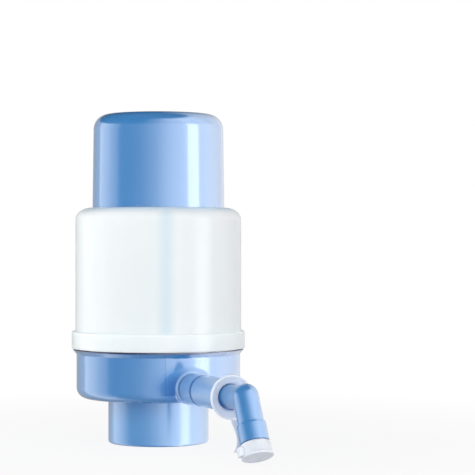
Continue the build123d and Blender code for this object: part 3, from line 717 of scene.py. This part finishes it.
# ---------------------------------------------------------------- bellows and spring
FOLDS = 11
FOLD_LOW = 62.2
FOLD_TOP = 138.0
FOLD_STEPS = 6
FOLD_FULLNESS = 0.85
CREST_R = 32.8
ROOT_R = 27.0
SKIN = 1.0
FLANGE_LOW = 61.1
FLANGE_HIGH = 62.1
FLANGE_R = 42.3
FLANGE_ROOT_R = 27.6
CUFF_OUTLINE = ((27.0, 138.0), (27.6, 138.0), (28.0, 138.3), (28.0, 145.6), (27.1, 145.6), (27.1, 138.6))

SPRING_R = 21.3
WIRE_R = 1.1
SPRING_TURNS = 9
SPRING_LOW = 62.1
SPRING_HIGH = 144.6
STEPS_PER_TURN = 40
WIRE_SIDES = 12


def bellows_outline():
    """Closed outline of the bellows wall: flange and rounded folds."""
    pitch = (FOLD_TOP - FOLD_LOW) / FOLDS
    outside, inside = [], []
    for point in range(FOLDS * FOLD_STEPS + 1):
        swing = 0.5 - 0.5 * math.cos(2 * math.pi * point / FOLD_STEPS)
        radius = ROOT_R + (CREST_R - ROOT_R) * swing ** FOLD_FULLNESS
        height = FOLD_LOW + pitch * point / FOLD_STEPS
        outside.append((radius, height))
        inside.append((radius - SKIN, height))
    flange = [
        (ROOT_R - SKIN, FLANGE_LOW), (FLANGE_R, FLANGE_LOW), (FLANGE_R, FLANGE_HIGH),
        (FLANGE_ROOT_R, FLANGE_HIGH),
    ]
    return flange + outside + inside[::-1]


def add_bellows(material):
    """Folded bellows, which ride on the base."""
    shape = lathe(bellows_outline(), UPRIGHT)
    piece = add_piece("air_bellows", shape, material, "base")
    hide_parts("bellows")
    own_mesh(piece)


def add_bellows_cuff(material):
    """The bellows' upper cuff, which goes down whole with the press cap."""
    add_piece("bellows_cuff", lathe(CUFF_OUTLINE, UPRIGHT), material, "press_cap")


def add_return_spring(material):
    """Round-wire coil spring between the deck and the cap's insert."""
    steps = STEPS_PER_TURN * SPRING_TURNS
    vertices = []
    for step in range(steps + 1):
        share = step / steps
        turn = 2 * math.pi * SPRING_TURNS * share
        outward = Vector((math.cos(turn), math.sin(turn), 0))
        centre = outward * SPRING_R + Vector((0, 0, SPRING_LOW + (SPRING_HIGH - SPRING_LOW) * share))
        for side in range(WIRE_SIDES):
            angle = 2 * math.pi * side / WIRE_SIDES
            offset = outward * math.cos(angle) + Vector((0, 0, math.sin(angle)))
            vertices.append((centre + offset * WIRE_R) * MM)
    shape = vertices, tube_faces(steps + 1, WIRE_SIDES)
    piece = add_piece("coil_spring", shape, material, "base")
    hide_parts("return_spring")
    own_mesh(piece)


# ---------------------------------------------------------------- tether ring, strap and closing cap
RING_OUTLINE = (
    (7.75, 108.6), (7.6, 108.8), (7.6, 109.3), (8.0, 109.75), (9.4, 110.2), (11.2, 110.75),
    (11.75, 111.3), (12.4, 111.35), (12.85, 110.9), (12.9, 110.1), (12.6, 109.2), (11.9, 108.65),
    (10.2, 108.5),
)
RING_HANG = 0.5

CAP_OUTLINE = (
    (0.0, 32.55), (3.7, 32.55), (7.0, 32.5), (7.45, 32.2), (7.5, 29.5), (7.5, 26.9), (7.6, 26.5),
    (8.3, 26.5), (8.6, 26.8), (8.7, 29.0), (8.8, 31.8), (8.9, 32.9), (9.15, 33.3), (9.25, 33.8),
    (9.2, 34.5), (8.9, 34.75), (8.2, 34.7), (4.5, 34.55), (0.0, 34.5),
)
LUG_CENTRE = Vector((-9.5, 0.0, 31.2))
LUG_SIZE = Vector((3.1, 4.6, 5.4))
LUG_LOOPS = (-0.5, -0.38, 0.0, 0.38, 0.5)
CORNERS = ((0, 0), (1, 0), (1, 1), (0, 1))

# The strap's points with its half width at each, and the corners across it as shares of its half width and
# half thickness.
STRAP_ROUTE = (
    ((1.8, -110.2, 23.6), 2.6), ((1.8, -110.4, 22.9), 2.2), ((1.2, -116.2, 18.2), 1.7),
    ((-1.5, -126.0, 13.6), 1.5), ((-6.3, -134.6, 9.6), 1.5), ((-9.4, -138.6, 8.5), 1.7),
    ((-10.4, -139.9, 8.6), 1.8),
)
STRAP_CORNERS = ((-1, -1), (-0.6, -1), (0.6, -1), (1, -1), (1, 1), (0.6, 1), (-0.6, 1), (-1, 1))
STRAP_HALF = 0.5
STRAP_ROUNDS = 2


def add_tether_ring(material):
    """Soft dished ring that hangs loosely on the elbow's stub."""
    hang = Matrix.Translation(Vector((0, 0, -RING_HANG * MM)))
    shape = lathe(RING_OUTLINE, hang @ ARM)
    piece = add_piece("soft_tether_ring", shape, material, "elbow")
    subdivide(piece)
    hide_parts("tether_ring")


def lug_shape():
    """Shape of the strap's lug: a block with enough loops to stay full when it is rounded."""
    last = len(LUG_LOOPS) - 1
    solid = bmesh.new()
    grid = {}
    for i, x in enumerate(LUG_LOOPS):
        for j, y in enumerate(LUG_LOOPS):
            for k, z in enumerate(LUG_LOOPS):
                if {i, j, k} & {0, last}:
                    local = LUG_CENTRE + Vector((x, y, z)) * LUG_SIZE
                    grid[i, j, k] = solid.verts.new(DROP @ (local * MM))
    for axis in range(3):
        for end in (0, last):
            for a in range(last):
                for b in range(last):
                    corners = []
                    for da, db in CORNERS:
                        key = [a + da, b + db]
                        key.insert(axis, end)
                        corners.append(grid[tuple(key)])
                    solid.faces.new(corners)
    solid.verts.index_update()
    vertices = [vertex.co.copy() for vertex in solid.verts]
    faces = [tuple(vertex.index for vertex in face.verts) for face in solid.faces]
    solid.free()
    return vertices, faces


def add_closing_cap(material):
    """Soft closing cap with a rolled end disc."""
    shape = lathe(CAP_OUTLINE, DROP)
    piece = add_piece("soft_closing_cap", shape, material, "closing_cap")
    subdivide(piece)
    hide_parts("spout_cap")


def add_strap_lug(material):
    """Lug on the closing cap that holds the strap."""
    piece = add_piece("strap_lug", lug_shape(), material, "closing_cap")
    subdivide(piece)


def add_strap(material):
    """Flat soft strap from the tether ring to the closing cap's lug."""
    points = [Vector(point) for point, _ in STRAP_ROUTE]
    across = Vector((1, 0, 0))
    vertices = []
    for index, (_, half) in enumerate(STRAP_ROUTE):
        before, after = points[max(index - 1, 0)], points[min(index + 1, len(points) - 1)]
        along = (after - before).normalized()
        side = (across - along * across.dot(along)).normalized()
        normal = along.cross(side)
        for a, b in STRAP_CORNERS:
            vertices.append((points[index] + side * half * a + normal * STRAP_HALF * b) * MM)
    shape = vertices, tube_faces(len(points), len(STRAP_CORNERS))
    piece = add_piece("soft_cap_strap", shape, material, None)
    subdivide(piece, STRAP_ROUNDS)
    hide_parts("cap_strap")
    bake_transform(piece)


# ---------------------------------------------------------------- put it together
def dress_node(name, material):
    """Give a CAD node its material."""
    slots = NODES[name].data.materials
    slots.clear()
    slots.append(material)


def dress_blue_nodes():
    """Blue plastic for each outer CAD node, with its own marks."""
    for name, (rim, finish) in BLUE_NODES.items():
        material, shader = blue_plastic(f"blue_{name}", rim * MM, **finish)
        if name == "base_housing":
            mark_base(shader)
        if name in ARM_JOINTS:
            mark_joints(shader, ARM_JOINTS[name])
        dress_node(name, material)


def dress_pump():
    """Materials of the CAD nodes, and the soft pieces that stand for their CAD solids."""
    dress_blue_nodes()
    dress_node("outer_body", milky_shell())
    white, silicone, steel = stiff_white(), clear_silicone(), drawn_steel()
    for names, material in ((WHITE_NODES, white), (SILICONE_NODES, silicone), (STEEL_NODES, steel)):
        for name in names:
            dress_node(name, material)
    milky = milky_bellows()
    add_bellows(milky)
    add_bellows_cuff(milky)
    add_return_spring(steel)
    soft = soft_white()
    add_tether_ring(soft)
    add_closing_cap(soft)
    add_strap_lug(soft)
    add_strap(soft)


add_camera()
GROUPS = {
    group.name: group for group in (
        peel_and_ripple_group(), rim_scuff_group(), handled_gloss_group(), drifting_tint_group(),
        upright_band_group(), joint_shade_group(),
    )
}
dress_pump()
light_the_studio()
